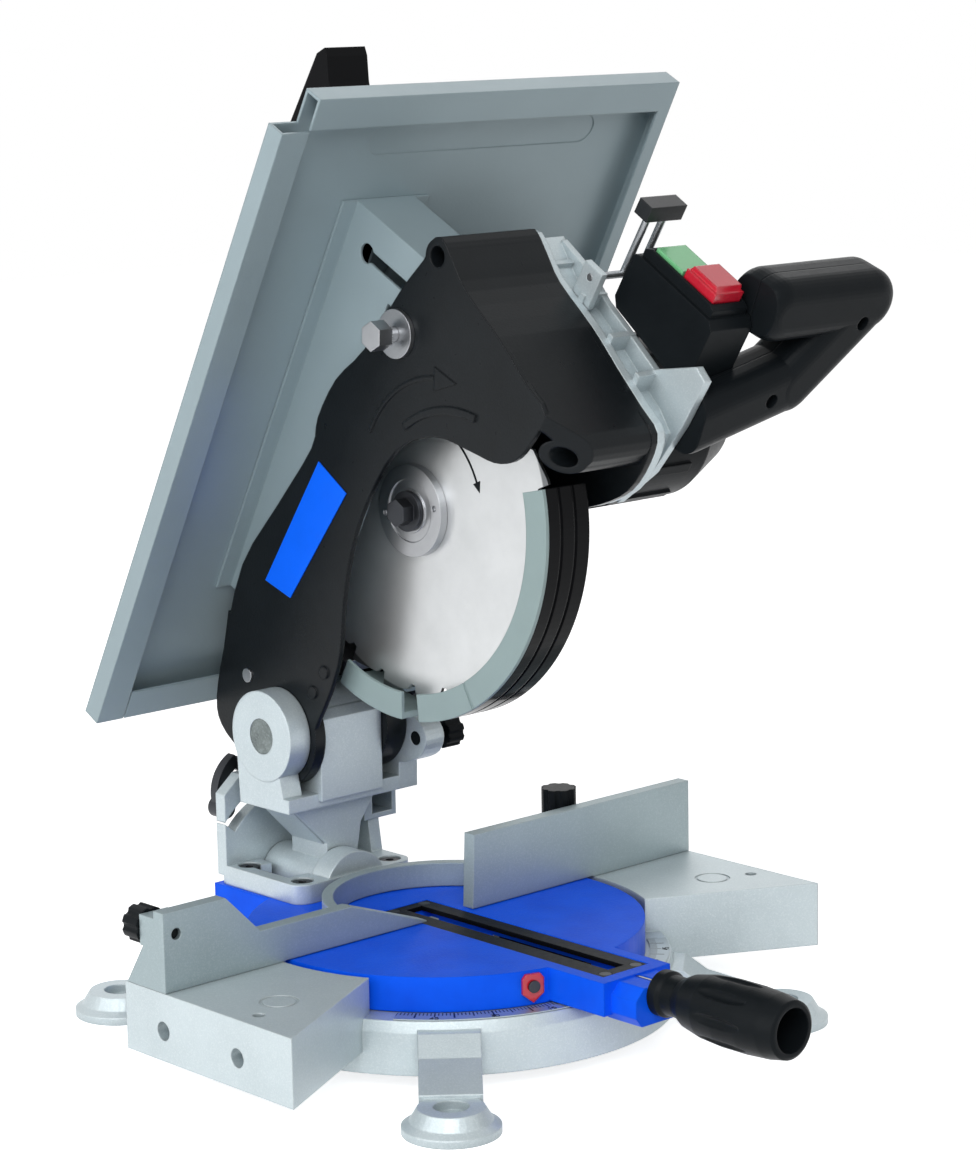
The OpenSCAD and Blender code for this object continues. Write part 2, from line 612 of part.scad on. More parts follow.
module motor_housing() color([0.07, 0.07, 0.08]) head() translate([0, mot_y, mot_z]) difference() {
  union() {
    xcyl(motor_r, 66 + seat, motor_x);
    for (a = [0 : 30 : 330]) rotate([a, 0, 0]) box(112, motor_x - 12, -3, 3, motor_r - 2, motor_r + 1.5);
  }
  xcyl(motor_r - 4, 60, motor_x + 1);
  for (s = [-1, 1]) ycyl(8 + seat, s > 0 ? 30 : -60, s > 0 ? 60 : -30, motor_x - 14, 0);
}

module motor_end_cap() color([0.06, 0.06, 0.07]) head() translate([motor_x, mot_y, mot_z]) difference() {
  union() {
    difference() {
      translate([seat, 0, 0]) rotate([0, 90, 0]) cylinder(r1 = motor_r, r2 = motor_r - 13, h = 28);
      translate([-1, 0, 0]) rotate([0, 90, 0]) cylinder(r1 = motor_r - 4, r2 = motor_r - 17, h = 25);
    }
    difference() {
      xcyl(15, 12, 26);
      xcyl(11 + 0.02, 10, 21);
    }
  }
  for (a = [15 : 30 : 345]) rotate([a, 0, 0]) box(22, 30, -1.6, 1.6, 17, 27);
}

module motor_stator() color([0.35, 0.36, 0.38]) head() translate([0, mot_y, mot_z]) difference() {
  xcyl(motor_r - 4 - seat, 92, 136);
  xcyl(core_r + 0.8, 91, 137);
  for (s = [-1, 1]) mirror([0, s > 0 ? 0 : 1, 0])
    box(91, 137, core_r - 4, motor_r - 10, -motor_r * 0.35, motor_r * 0.35);
}

module brush_cap() {
  ycyl(8, 30, motor_r + 2);
  difference() {
    ycyl(9.5, motor_r + 1.9, motor_r + 4);
    box(-6, 6, motor_r + 3, motor_r + 5, -0.8, 0.8);
  }
}

module brush_caps() color([0.02, 0.02, 0.02]) head() translate([motor_x - 14, mot_y, mot_z]) {
  brush_cap();
  mirror([0, 1, 0]) brush_cap();
}

module return_spring() color([0.4, 0.41, 0.43]) head() {
  for (i = [0 : 2]) translate([31.2 + i * 2.9, piv_dy, piv_dz]) rotate([0, 90, 0])
    rotate_extrude($fn = 40) translate([spring_r, 0]) circle(spring_wire, $fn = 16);
}

// Handle and switch

grip_w = 35;
grip_h = 34;
grip_x0 = 93.2;
grip_path = [[104, 0], [172, 0], [128, 44], [64, 61.5]];
grip_step = 0.3;
grip_screws = [[164, 9], [110, 49]];

// The handle's own plane, with its origin on the middle of the grip
module grip_frame() {
  head() translate([0, -178, -75]) rotate([-10, 0, 0]) children();
}

// Half of a round-edged disc, above or below the split
module grip_puck(p, s, in) {
  translate([p[0], p[1], 0]) rotate_extrude($fn = 40) mirror([0, s > 0 ? 0 : 1]) intersection() {
    rrect(in - grip_w / 2, grip_w / 2 - in, in - grip_h / 2, grip_h / 2 - in, 11, $fn = 32);
    translate([0, 0.1]) square([grip_w, grip_h]);
  }
}

// Grip, slanted end and rear bar, each a little slimmer than the last
module grip_loop(s) {
  for (i = [0 : 2]) hull() {
    grip_puck(grip_path[i], s, i * grip_step);
    grip_puck(grip_path[i + 1], s, i * grip_step);
  }
}

// Room for the switch box and the casting in the shells
module box_room() {
  head() {
    box(box_x - 1, grip_x0, -173, -129.6, -80.4, -10);
    box(box_x - 1, grip_x0, -215, -146, -120, -10);
    box(30, box_x, -170, -80, -130, -50);
  }
}

module handle_lower() color([0.07, 0.07, 0.08]) difference() {
  grip_frame() difference() {
    grip_loop(-1);
    for (p = grip_screws) {
      zcyl(4, -20, -9, p[0], p[1]);
      zcyl(2 + seat, -20, 1, p[0], p[1]);
    }
  }
  box_room();
}

module handle_upper() color([0.08, 0.08, 0.09]) difference() {
  grip_frame() difference() {
    grip_loop(1);
    for (p = grip_screws) zcyl(2 + seat, -1, 11, p[0], p[1]);
  }
  box_room();
}

module handle_screws() color([0.25, 0.25, 0.27]) grip_frame() for (p = grip_screws) {
  zcyl(3.6, -12, -9 - seat, p[0], p[1], $fn = 24);
  zcyl(2, -9.3, 10, p[0], p[1], $fn = 20);
}

module switch_box() color([0.06, 0.06, 0.07]) head() difference() {
  union() {
    xplate(box_x, grip_x0 - gap) polygon([[-172, -18], [-170, -14], [-144, -14], [-139, -18], [-130, -80], [-168, -80],
      [-172, -76]]);
    xplate(65, 90.4) polygon([[-178, -22], [-176, -18], [-170, -18], [-170, -74], [-176, -74],
      [-178, -70]]);
    box(84, 88, -158, -147, -15, 0);
  }
  box(66.6, 88.8, -179, -158, -70.4, -22);
  xcyl(2 + run, 83, 89, -152, -7, $fn = 24);
}

module start_button() color([0.45, 0.75, 0.45]) head() box(67.4, 88, -180, -163, -44.6, -23);

module stop_button() color([0.80, 0.04, 0.12]) head() {
  box(67.4, 88, -183, -163, -69.6, -46);
  xplate(68.6, 86.8) polygon([[-186, -67], [-182, -69], [-182, -46.6], [-186, -48.6]]);
}

module guard_release_lever() color([0.5, 0.51, 0.52]) head() {
  xcyl(2, 45.8, 89, -152, -7, $fn = 24);
  for (x = [70, 82]) ycyl(2, -190, -152, x, -7, $fn = 24);
  box(64, 90, -197, -188, -12, -2);
}

module riving_knife() color([0.6, 0.62, 0.63]) head() difference() {
  union() {
    xplate(-1, 1) polygon([[111, 2], [119.5, 2], [119.5, 30], [126, 36], [126, 100], [121, 127.8],
      [110, 127.8], [112, 100], [112, 60]]);
    xplate(0, cov_r - 4 - seat) polygon([[111, 4], [119.5, 4], [119.5, 24], [111, 24]]);
  }
  xcyl(3 + run, -2, 2, hood_y, hood_z);
}

// Upper table, its skirt, hood and clamp

module upper_table() color([0.64, 0.68, 0.70]) head() on_table() difference() {
  y0 = tab_y0 + lip + 1;
  x0 = tab_x0 + lip + 1;
  xf = x0 - 1;
  union() {
    box(tab_x0, tab_x1, y0, tab_y1, tab_z - sheet, tab_z);
    box(xf, tab_x1, tab_y0, y0 + 1, tab_z - sheet, tab_z);
    box(tab_x0, tab_x0 + sheet, y0, tab_y1, fold_z, tab_z - sheet / 2);
    box(tab_x0, tab_x0 + lip, y0, tab_y1, fold_z, fold_z + sheet);
    box(tab_x1 - sheet, tab_x1, tab_y0 + lip - 1, tab_y1 - lip + 1, fold_z, tab_z - sheet / 2);
    box(tab_x1 - lip / 2, tab_x1, tab_y0 + lip - 1, tab_y1 - lip + 1, fold_z, fold_z + sheet);
    box(xf, tab_x1, tab_y0, tab_y0 + sheet, fold_z, tab_z - sheet / 2);
    box(xf, tab_x1, tab_y0, tab_y0 + lip, fold_z, fold_z + sheet);
    box(x0, tab_x1, tab_y1 - sheet, tab_y1, fold_z, tab_z - sheet / 2);
    box(x0, tab_x1, tab_y1 - lip, tab_y1, fold_z, fold_z + sheet);
  }
  translate([0, 0, tab_z - 3]) linear_extrude(4) rrect(-5, 5, -126, 134, 4.9);
  translate([0, 0, tab_z - sheet - 1]) linear_extrude(1.5) rrect(-24, 138, -176, -159, 8.4);
}

module table_skirt() color([0.66, 0.70, 0.71]) head() on_table() {
  top = tab_z - sheet - seat;
  difference() {
    union() {
      box(-20, -18.4, -132.5, 118, 8, top);
      box(18.4, 20, -132.5, 118, 44, top);
      box(-20, 20, -132.5, -130.9, 16, top);
      box(-30, -19, -132.5, 118, top - 1.6, top);
      box(19, 30, -132.5, 118, top - 1.6, top);
      for (x = [-20, 18.4]) xplate(x, x + 1.6) polygon([[112, 50], [112, 78], [124, 67], [140, 58], [156, 54],
        [159.5, 46], [155.5, 37.5], [146, 36.5]]);
    }
    xplate(-22, -17) {
      translate([-114.5, 20]) square([6.4, 48]);
      translate([-111.3, 68]) circle(5.4);
      translate([-96.4, 15]) square([10, 27]);
    }
    xcyl(tab_pin_r + run, -30, 30, tab_pin_y, tab_pin_z);
  }
}

module table_hinge_pin() color([0.5, 0.51, 0.53]) head()
  xcyl(tab_pin_r, cov_l - 1, cov_r - 0.5, tab_pin_y, tab_pin_z);

module blade_hood() color([0.04, 0.04, 0.05]) head() difference() {
  xplate(-14, 14) polygon([[-112, 108.5], [-166, 160], [-177, 168], [-180, 172], [-174, 176], [-125, 177],
    [60, 159], [110, 147], [128, 139], [128, 95.4]]);
  xplate(-12, 12) polygon([[-98, 98], [-163.4, 160.5], [-174.5, 169.2], [-176.8, 172], [-173, 174], [-125, 175],
    [60, 157], [109, 145.2], [126, 137.7], [126, 118], [132, 118], [132, 80]]);
  xcyl(3 + run, -15, 15, hood_y, hood_z);
}

module hood_pin() color([0.5, 0.51, 0.53]) head() xcyl(3, -14.4, 14.4, hood_y, hood_z);

module table_clamp_bolt() color([0.55, 0.56, 0.58]) head() {
  xcyl(8, -45, -36, -92, 37, $fn = 6);
  xcyl(4, -36.1, -15, -92, 37);
}

module table_clamp_washer() color([0.62, 0.63, 0.65]) head() difference() {
  xcyl(13, -29, cov_l - seat, -92, 37);
  xcyl(4 + seat, -30, -20, -92, 37);
}

// Bearings, guard, blade and drive

module bearing(ro, ri, x0, x1) {
  difference() {
    xcyl(ro, x0, x1);
    xcyl(ri + run, x0 - 1, x1 + 1);
    for (s = [0, 1]) difference() {
      xcyl(ro * 0.66 + ri * 0.34 + 1, s > 0 ? x1 - 0.8 : x0 - 1, s > 0 ? x1 + 1 : x0 + 0.8);
      xcyl(ro * 0.4 + ri * 0.6 - 0.6, x0 - 2, x1 + 2);
    }
  }
}

module spindle_bearings() color([0.7, 0.71, 0.73]) head() {
  bearing(17.5, spindle_d / 2, 14, 26);
  bearing(11, 5, 60.4, 65.8);
}

module armature_bearings() color([0.7, 0.71, 0.73]) head() translate([0, mot_y, mot_z]) {
  bearing(11, 5, 60.4, 65.8);
  bearing(11, 5, motor_x + 15.2, motor_x + 20.6);
}

module lower_guard() color([0.05, 0.05, 0.06]) head() {
  rotate([90, 0, 90]) rotate([0, 0, 180 + guard_a0]) rotate_extrude(angle = guard_a1 - guard_a0)
    polygon([[30, 11], [30, 13], [guard_ri, 13], [guard_ri, 17.6], [guard_ro, 17.6], [guard_ro, 9],
      [guard_ro - 0.8, 9], [guard_ro - 0.8, 7], [guard_ro, 7], [guard_ro, -1], [guard_ro - 0.8, -1],
      [guard_ro - 0.8, -3], [guard_ro, -3], [guard_ro, -10.8], [guard_ri, -10.8], [guard_ri, 11]]);
  difference() {
    xcyl(34, 10.6, 13.4);
    xcyl(boss_r + run, 10, 14);
  }
}

module guard_ring() color([0.66, 0.69, 0.69]) head() difference() {
  xring(guard_flange_ri, guard_ro, -13, -10.8 - seat, guard_a0, guard_a1);
  xring(guard_flange_ri - 1, guard_ro + 1, -14, -12.2, 118.3, 119.3);
}

function tooth(r, a) = [[r - 5, a - 11], [r - 0.6, a - 2], [r, a], [r - 8, a + 0.6], [r - 8.6, a + 2.4]];

module saw_blade() color([0.75, 0.76, 0.77]) head() difference() {
  xplate(-blade_t / 2, blade_t / 2)
    polygon([for (i = [0 : blade_teeth - 1]) each [for (q = tooth(blade_d / 2, i * 360 / blade_teeth))
      [q[0] * cos(q[1]), q[0] * sin(q[1])]]]);
  xcyl(bore_d / 2 + run, -5, 5);
}

module inner_flange() color([0.6, 0.61, 0.63]) head() difference() {
  union() {
    xcyl(flange_d / 2, blade_t / 2 + seat, 6);
    xcyl(bore_d / 2, -blade_t / 2, blade_t / 2 + seat + eps);
  }
  xcyl(8 + 0.02, -5, 7);
}

module outer_flange() color([0.78, 0.79, 0.80]) head() difference() {
  xcyl(flange_d / 2, -6, -blade_t / 2 - seat);
  xcyl(8 + 0.02, -7, 0);
  xring(12, 17, -6.1, -5.2, 0, 360);
  for (s = [-1, 1]) xcyl(1.6, -6.1, -4, s * 13, s * 15, $fn = 20);
}

module arbor_bolt() color([0.25, 0.25, 0.27]) head() {
  xcyl(11, -8.6, -6 - seat);
  xcyl(7.5, -16, -8.5, $fn = 6);
  xcyl(4, -6.4, 13);
}

module spindle() color([0.58, 0.59, 0.61]) head() difference() {
  union() {
    xcyl(8, -5.6, 6 + seat + eps);
    xcyl(spindle_d / 2, 6 + seat, 59);
    xcyl(5, 58.9, 67);
  }
  xcyl(4 + 0.02, -7, 14);
}

module driven_gear() color([0.5, 0.51, 0.53]) head() difference() {
  xplate(48, 58) rotate(mot_a) polygon(gear_pts(gear_mod, gear_n, 0.12));
  xcyl(spindle_d / 2 + 0.02, 47, 59);
}

module armature() color([0.45, 0.36, 0.25]) head() translate([0, mot_y, mot_z]) {
  xcyl(5, 47.5, motor_x + 21);
  xplate(48.5, 57.5) rotate(mot_a + 180 + 180 / pinion_n) polygon(gear_pts(gear_mod, pinion_n, 0.12));
  difference() {
    xcyl(motor_r - 10, 74, 82);
    for (a = [0 : 30 : 330]) rotate([a, 0, 0]) box(76, 84, 3, 8.4, 12, 40);
  }
  xcyl(core_r, 94, 134);
  xcyl(14, 144, 164);
}

base_casting();
mitre_scale();
fence();
fence_bolts();
fence_knob_left();
fence_knob_right();
mitre_pivot_bolt();
mitre_pivot_nut();
turntable();
kerf_plate();
small_screws();
pointer();
mitre_knob();
mitre_lock_screw();
column_bracket();
column_bolts();
bevel_pin();
bevel_stop_screw();
bevel_yoke();
chop_shaft();
bevel_clamp_bolt();
bevel_clamp_lever();
head_lock_pin();
blade_cover();
rear_guard();
label_plate();
cover_screws();
gear_housing();
motor_bracket();
motor_housing();
motor_end_cap();
motor_stator();
brush_caps();
return_spring();
handle_lower();
handle_upper();
handle_screws();
switch_box();
start_button();
stop_button();
guard_release_lever();
riving_knife();
table_clamp_bolt();
table_clamp_washer();
table_hinge_pin();
spindle_bearings();
armature_bearings();
upper_table();
table_skirt();
blade_hood();
hood_pin();
lower_guard();
guard_ring();
saw_blade();
inner_flange();
outer_flange();
arbor_bolt();
spindle();
driven_gear();
armature();
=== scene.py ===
import json
import math

import bmesh
import bpy
from mathutils import Matrix, Vector


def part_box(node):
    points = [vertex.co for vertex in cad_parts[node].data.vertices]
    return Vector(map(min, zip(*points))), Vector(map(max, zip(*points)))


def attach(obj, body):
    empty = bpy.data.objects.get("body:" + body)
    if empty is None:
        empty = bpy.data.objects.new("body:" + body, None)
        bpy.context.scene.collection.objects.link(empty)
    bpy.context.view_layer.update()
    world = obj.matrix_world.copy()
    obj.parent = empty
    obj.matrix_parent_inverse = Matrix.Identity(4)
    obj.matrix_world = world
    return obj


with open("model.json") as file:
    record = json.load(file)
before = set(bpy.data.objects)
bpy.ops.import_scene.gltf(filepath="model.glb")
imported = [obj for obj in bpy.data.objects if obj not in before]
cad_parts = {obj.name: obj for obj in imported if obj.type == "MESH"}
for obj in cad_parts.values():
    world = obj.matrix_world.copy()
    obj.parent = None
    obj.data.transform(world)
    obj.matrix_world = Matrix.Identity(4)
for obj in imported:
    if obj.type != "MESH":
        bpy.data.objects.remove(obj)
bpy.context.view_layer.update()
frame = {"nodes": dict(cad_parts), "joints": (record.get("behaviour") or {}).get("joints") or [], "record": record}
nodes = frame["nodes"]
record = frame["record"]
mm = 0.001
print("frame loaded:", len(nodes), "nodes")

# The start button's travel gives the head's own axes, so marks on the head follow its CAD
joints = {j["name"]: j for j in frame["joints"]}
spindle = Vector(joints["blade_spin"]["pos_m"])
headBack = Vector(joints["start_press"]["axis"]).normalized()
headUp = Vector((1, 0, 0)).cross(headBack)
headFrame = Matrix((
    (1, headBack.x, headUp.x, spindle.x),
    (0, headBack.y, headUp.y, spindle.y),
    (0, headBack.z, headUp.z, spindle.z),
    (0, 0, 0, 1)))


class Wire:
    # a shader socket that can be used in Python expressions
    def __init__(self, tree, socket):
        self.tree = tree
        self.socket = socket

    def math(self, operation, other=None, flip=False):
        node = self.tree.nodes.new("ShaderNodeMath")
        node.operation = operation
        pair = [self, other] if not flip else [other, self]
        for socket, value in zip(node.inputs, pair):
            if value is not None:
                feed(self.tree, socket, value)
        return Wire(self.tree, node.outputs[0])

    def __add__(self, other):
        return self.math("ADD", other)

    def __radd__(self, other):
        return self.math("ADD", other, True)

    def __sub__(self, other):
        return self.math("SUBTRACT", other)

    def __rsub__(self, other):
        return self.math("SUBTRACT", other, True)

    def __mul__(self, other):
        return self.math("MULTIPLY", other)

    def __rmul__(self, other):
        return self.math("MULTIPLY", other, True)

    def __lt__(self, other):
        return self.math("LESS_THAN", other)

    def __gt__(self, other):
        return self.math("GREATER_THAN", other)

    def __mod__(self, other):
        return self.math("FLOORED_MODULO", other)


def feed(tree, socket, value):
    if isinstance(value, Wire):
        tree.links.new(value.socket, socket)
    else:
        socket.default_value = value


def shade(red, green, blue):
    # a colour as it looks on the screen, 0 to 255, made linear
    def line(c):
        c = c / 255
        return c / 12.92 if c <= 0.04045 else ((c + 0.055) / 1.055) ** 2.4
    return (line(red), line(green), line(blue), 1.0)


def spread(wire, low, high):
    return low + wire * (high - low)


class Nodes:
    # a node tree, of a material or of the world
    def __init__(self, tree):
        self.tree = tree

    def add(self, kind, settings=None, inputs=None, out=0):
        node = self.tree.nodes.new("ShaderNode" + kind)
        for key, value in (settings or {}).items():
            setattr(node, key, value)
        for key, value in (inputs or {}).items():
            feed(self.tree, node.inputs[key], value)
        return Wire(self.tree, node.outputs[out])

    def seen(self):
        # 1 for what the camera sees, straight or in a reflection
        kinds = ("Is Camera Ray", "Is Glossy Ray", "Is Transmission Ray")
        rays = [self.add("LightPath", out=k) for k in kinds]
        return rays[0].math("MAXIMUM", rays[1]).math("MAXIMUM", rays[2])


class Finish(Nodes):
    traceSamples = 4
    edgeFrom, edgeTo = 0.995, 0.85  # cosine between the rounded and the flat normal

    def __init__(self, name, constants):
        self.material = bpy.data.materials.new(name)
        self.material.use_nodes = True
        super().__init__(self.material.node_tree)
        self.shader = self.tree.nodes["Principled BSDF"]
        for key, value in constants.items():
            self.shader.inputs[key].default_value = value

    def link(self, key, wire):
        self.tree.links.new(wire.socket, self.shader.inputs[key])

    def place(self):
        return self.add("TexCoord", out="Object")

    def noise(self, size, detail=3.0, rough=0.55):
        return self.add("TexNoise", None, {
            "Vector": self.place(), "Scale": 1 / size, "Detail": detail, "Roughness": rough})

    def drift(self, size, low=0.35, high=0.7):
        # slow change from one place to the next
        return self.stretch(self.noise(size, 4), low, high)

    def streaks(self, scale):
        # noise drawn out along one axis
        scaled = self.add("Mapping", None, {"Vector": self.place(), "Scale": scale})
        return self.add("TexNoise", None, {"Vector": scaled, "Scale": 1.0, "Detail": 3.0})

    def flecks(self, size):
        cells = self.add("TexVoronoi", None, {"Vector": self.place(), "Scale": 1 / size}, "Color")
        return self.add("SeparateColor", None, {"Color": cells}, 0)

    def blend(self, factor, first, second):
        return self.add("Mix", {"data_type": "RGBA"}, {0: factor, 6: first, 7: second}, 2)

    def stretch(self, wire, low, high):
        return self.add("MapRange", None, {"Value": wire, "From Min": low, "From Max": high})

    def vector(self, operation, first, second=None, out=0):
        inputs = {0: first} if second is None else {0: first, 1: second}
        return self.add("VectorMath", {"operation": operation}, inputs, out)

    def normal(self):
        return self.add("NewGeometry", out="Normal")

    def fromSpindle(self):
        return self.vector("SUBTRACT", self.place(), tuple(spindle))

    def rounded(self, radius):
        # soft edges on the machined and moulded corners
        return self.add("Bevel", {"samples": self.traceSamples}, {"Radius": radius})

    def edges(self, radius):
        # 1 on outer and inner corners, 0 on open faces
        same = self.vector("DOT_PRODUCT", self.rounded(radius), self.normal(), "Value")
        return self.stretch(same, self.edgeFrom, self.edgeTo)

    def corners(self, reach):
        # 1 in the open, falling towards 0 in narrow corners; the cast finishes use it to paint shade there
        return self.add("AmbientOcclusion", {"samples": self.traceSamples}, {"Distance": reach}, "AO")

    def bumps(self, height, depth, radius):
        self.link("Normal", self.add("Bump", None, {
            "Strength": 1.0, "Distance": depth, "Height": height, "Normal": self.rounded(radius)}))


paintShared = {"metal": 0.0, "coat": 0.0, "coatRough": 0.25, "sheenPerPeel": 6, "peelRough": 0.6}
sheetPaint = {
    **paintShared, "metal": 0.15, "coat": 0.05, "gloss": 0.4, "driftSize": 0.06, "driftDark": 0.95,
    "peelSize": 0.0016, "peelDepth": 0.00007, "roughLow": 0.34, "roughHigh": 0.46, "edge": 0.0012}
blackPaint = {
    **paintShared, "gloss": 0.15, "driftSize": 0.03, "driftDark": 0.8,
    "peelSize": 0.0012, "peelDepth": 0.00008, "roughLow": 0.24, "roughHigh": 0.36, "edge": 0.0016}
mouldedBlack = {
    **paintShared, "gloss": 0.07, "driftSize": 0.03, "driftDark": 0.82,
    "peelSize": 0.0006, "peelDepth": 0.00006, "roughLow": 0.28, "roughHigh": 0.42, "edge": 0.0012}
polishedBlack = {
    **paintShared, "coat": 0.02, "gloss": 0.07, "driftSize": 0.03, "driftDark": 0.85,
    "peelSize": 0.004, "peelDepth": 0.00002, "roughLow": 0.12, "roughHigh": 0.2, "edge": 0.0009}
buttonPlastic = {
    **paintShared, "coat": 0.5, "gloss": 0.5, "driftSize": 0.02, "driftDark": 0.9,
    "peelSize": 0.003, "peelDepth": 0.00001, "roughLow": 0.16, "roughHigh": 0.24, "edge": 0.0014}
panelPrint = {
    **paintShared, "gloss": 0.16, "driftSize": 0.02, "driftDark": 0.94,
    "peelSize": 0.0012, "peelDepth": 0.00002, "roughLow": 0.3, "roughHigh": 0.42, "edge": 0.0005}
greyPlastic = {
    **paintShared, "metal": 0.05, "gloss": 0.4, "driftSize": 0.03, "driftDark": 0.93,
    "peelSize": 0.0008, "peelDepth": 0.00005, "roughLow": 0.36, "roughHigh": 0.48, "edge": 0.0008}


def paintFinish(name, colour, s):
    # paint or moulded plastic: slight colour drift, orange peel or grain, rounded edges
    finish = Finish(name, {
        "Metallic": s["metal"], "Coat Weight": s["coat"], "Coat Roughness": s["coatRough"],
        "Specular IOR Level": s["gloss"]})
    darker = [c * s["driftDark"] for c in colour[:3]] + [1.0]
    finish.link("Base Color", finish.blend(finish.drift(s["driftSize"]), colour, darker))
    sheen = finish.noise(s["peelSize"] * s["sheenPerPeel"])
    finish.link("Roughness", spread(sheen, s["roughLow"], s["roughHigh"]))
    finish.bumps(finish.noise(s["peelSize"], rough=s["peelRough"]), s["peelDepth"], s["edge"])
    return finish.material


# The darkening of narrow corners set here is painted shade, found by ambient occlusion; the lightened corners are
# a painted highlight
castShared = {
    "metal": 0.4, "gloss": 0.45, "fleckPower": 3.0, "fleckShare": 0.3, "edgeHighlightShare": 0.25,
    "shadeReach": 0.014, "shadeFrom": 0.75, "shadeTo": 0.2, "shadeShare": 0.55, "grainRough": 0.6,
    "roughLow": 0.3, "roughHigh": 0.52}
castMetal = {
    **castShared, "pale": (200, 212, 216), "dull": (190, 202, 206), "fleck": (228, 235, 237),
    "cornerShade": (84, 95, 99), "driftSize": 0.05, "fleckSize": 0.0007, "grainSize": 0.001,
    "grainDepth": 0.00012, "edge": 0.0012}
# painted shadow under the turntable, round the base's middle
baseMetal = {**castMetal, "shadeWithin": 0.1, "underShade": (12, 13, 17)}
fenceMetal = {
    **castShared, "pale": (158, 174, 178), "dull": (150, 165, 169), "fleck": (190, 201, 204),
    "cornerShade": (80, 91, 95), "driftSize": 0.06, "fleckSize": 0.0006, "grainSize": 0.0012,
    "grainDepth": 0.00006, "edge": 0.001}
pinMetal = {
    **castShared, "pale": (122, 132, 131), "dull": (92, 101, 101), "fleck": (166, 175, 174),
    "cornerShade": (50, 56, 58), "driftSize": 0.006, "fleckSize": 0.0011, "grainSize": 0.0022,
    "grainDepth": 0.0005, "edge": 0.0008}


def castFinish(name, s):
    # silver paint on a sand casting: grain, bright flecks, a painted highlight on the corners and painted shade in
    # narrow places
    finish = Finish(name, {"Metallic": s["metal"], "Specular IOR Level": s["gloss"]})
    body = finish.blend(finish.drift(s["driftSize"]), shade(*s["pale"]), shade(*s["dull"]))
    bright = finish.flecks(s["fleckSize"]).math("POWER", s["fleckPower"])
    # flecks in the paint, plus a painted highlight along the corners
    flecksAndEdgeHighlight = bright * s["fleckShare"] + finish.edges(s["edge"]) * s["edgeHighlightShare"]
    body = finish.blend(flecksAndEdgeHighlight, body, shade(*s["fleck"]))
    # painted shade: darker where ambient occlusion finds narrow corners
    paintedCornerShade = finish.stretch(finish.corners(s["shadeReach"]), s["shadeFrom"], s["shadeTo"])
    body = finish.blend(paintedCornerShade * s["shadeShare"], body, shade(*s["cornerShade"]))
    if "shadeWithin" in s:  # painted shadow: black round the base's middle, where the channel under the turntable lies in shade
        flat = finish.vector("MULTIPLY", finish.place(), (1, 1, 0))
        middle = finish.vector("LENGTH", flat, out="Value")
        body = finish.blend(middle < s["shadeWithin"], body, shade(*s["underShade"]))
    finish.link("Base Color", body)
    grain = finish.noise(s["grainSize"], 4, s["grainRough"])
    finish.link("Roughness", spread(grain, s["roughLow"], s["roughHigh"]))
    finish.bumps(grain, s["grainDepth"], s["edge"])
    return finish.material


kerfInsert = {
    "gloss": 0.08, "black": (8, 9, 14), "scuff": (40, 42, 46), "lineScale": (160.0, 2600.0, 160.0),
    "scuffFrom": 0.55, "scuffTo": 0.8, "scuffShare": 0.3, "sheenSize": 0.003, "roughLow": 0.34,
    "roughHigh": 0.5, "grainSize": 0.0008, "grainDepth": 0.00006, "edge": 0.0008}


def kerfFinish(s):
    # black insert, scuffed grey by sliding wood
    finish = Finish("kerfBlack", {"Specular IOR Level": s["gloss"]})
    scuff = finish.stretch(finish.streaks(s["lineScale"]), s["scuffFrom"], s["scuffTo"])
    worn = finish.blend(scuff * s["scuffShare"], shade(*s["black"]), shade(*s["scuff"]))
    finish.link("Base Color", worn)
    finish.link("Roughness", spread(finish.noise(s["sheenSize"]), s["roughLow"], s["roughHigh"]))
    finish.bumps(finish.noise(s["grainSize"]), s["grainDepth"], s["edge"])
    return finish.material


releaseLever = {
    "gloss": 0.4, "padFront": -0.187, "metal": 0.9, "bright": (196, 199, 202), "dull": (150, 154, 158),
    "padDark": (24, 26, 28), "padPale": (38, 41, 44), "padSize": 0.004, "streakSize": 0.0012,
    "streakDepth": 0.00004, "roughLow": 0.24, "roughHigh": 0.4, "edge": 0.0008}


def leverFinish(s):
    # bright wire with a black moulded pad on its front
    finish = Finish("wireAndPad", {"Specular IOR Level": s["gloss"]})
    behind = finish.vector("DOT_PRODUCT", finish.fromSpindle(), tuple(headBack), "Value")
    pad = behind < s["padFront"]
    streak = finish.noise(s["streakSize"])
    wire = finish.blend(streak, shade(*s["bright"]), shade(*s["dull"]))
    moulded = finish.blend(finish.noise(s["padSize"]), shade(*s["padDark"]), shade(*s["padPale"]))
    finish.link("Base Color", finish.blend(pad, wire, moulded))
    finish.link("Metallic", s["metal"] - pad * s["metal"])
    finish.link("Roughness", spread(streak, s["roughLow"], s["roughHigh"]))
    finish.bumps(streak, s["streakDepth"], s["edge"])
    return finish.material


blueEnamel = {
    "gloss": 0.07, "blue": (14, 96, 252), "deep": (12, 84, 236), "pale": (46, 116, 246),
    "driftSize": 0.03, "topFrom": 0.8, "topTo": 0.95, "speckFrom": 0.35, "speckTo": 0.65,
    "speckShare": 0.2, "roughRim": 0.28, "roughTop": 0.42, "grainSize": 0.0012, "grainRough": 0.6,
    "grainDepth": 0.00022, "rimGrain": 0.15, "edge": 0.0012}


